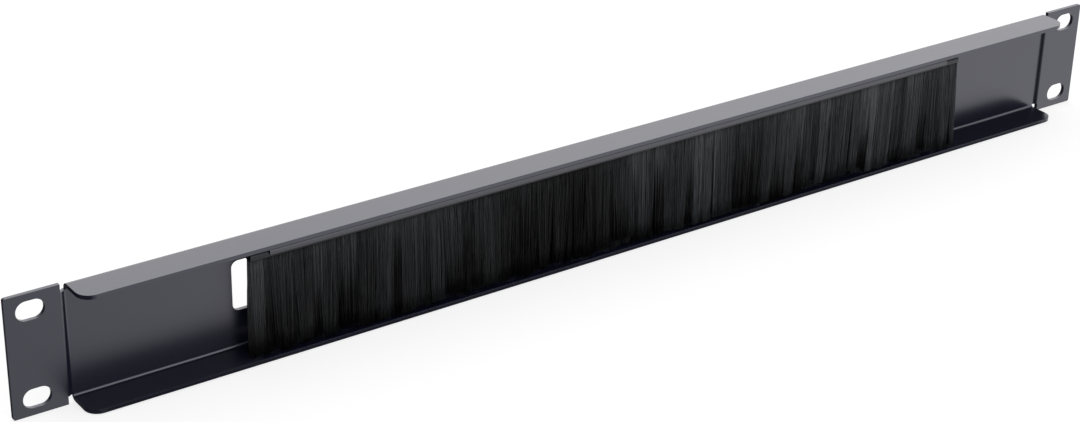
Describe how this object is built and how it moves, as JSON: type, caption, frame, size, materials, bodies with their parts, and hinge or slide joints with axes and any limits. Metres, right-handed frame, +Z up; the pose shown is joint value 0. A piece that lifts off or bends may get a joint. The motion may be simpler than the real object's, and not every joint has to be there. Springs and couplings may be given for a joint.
{
  "type": "rack brush strip panel",
  "caption": "One-unit rack panel, folded from steel sheet, with a long cable opening that a strip brush hung under its upper flange closes like a curtain.",
  "frame": {"origin": "middle of the four rack slots, on the ear faces that bear on the rack rails", "axes": "+X along the panel, +Y out of the cabinet towards the room, +Z up"},
  "size_m": [0.4826, 0.0153, 0.044],
  "materials": {
    "powder_coat": "semi-gloss grey-black powder coat",
    "carrier_coat": "satin black coat",
    "channel_coat": "semi-gloss black coat on strip steel",
    "wire_steel": "drawn steel wire",
    "bristle": "black nylon filament",
    "rivet_coat": "black painted blind rivets"
  },
  "bodies": {
    "root": {"panel": "powder_coat", "brush_carrier": "carrier_coat", "strip_channel": "channel_coat", "core_wire": "wire_steel", "bristles": "bristle", "rivets": "rivet_coat"}
  },
  "joints": []
}
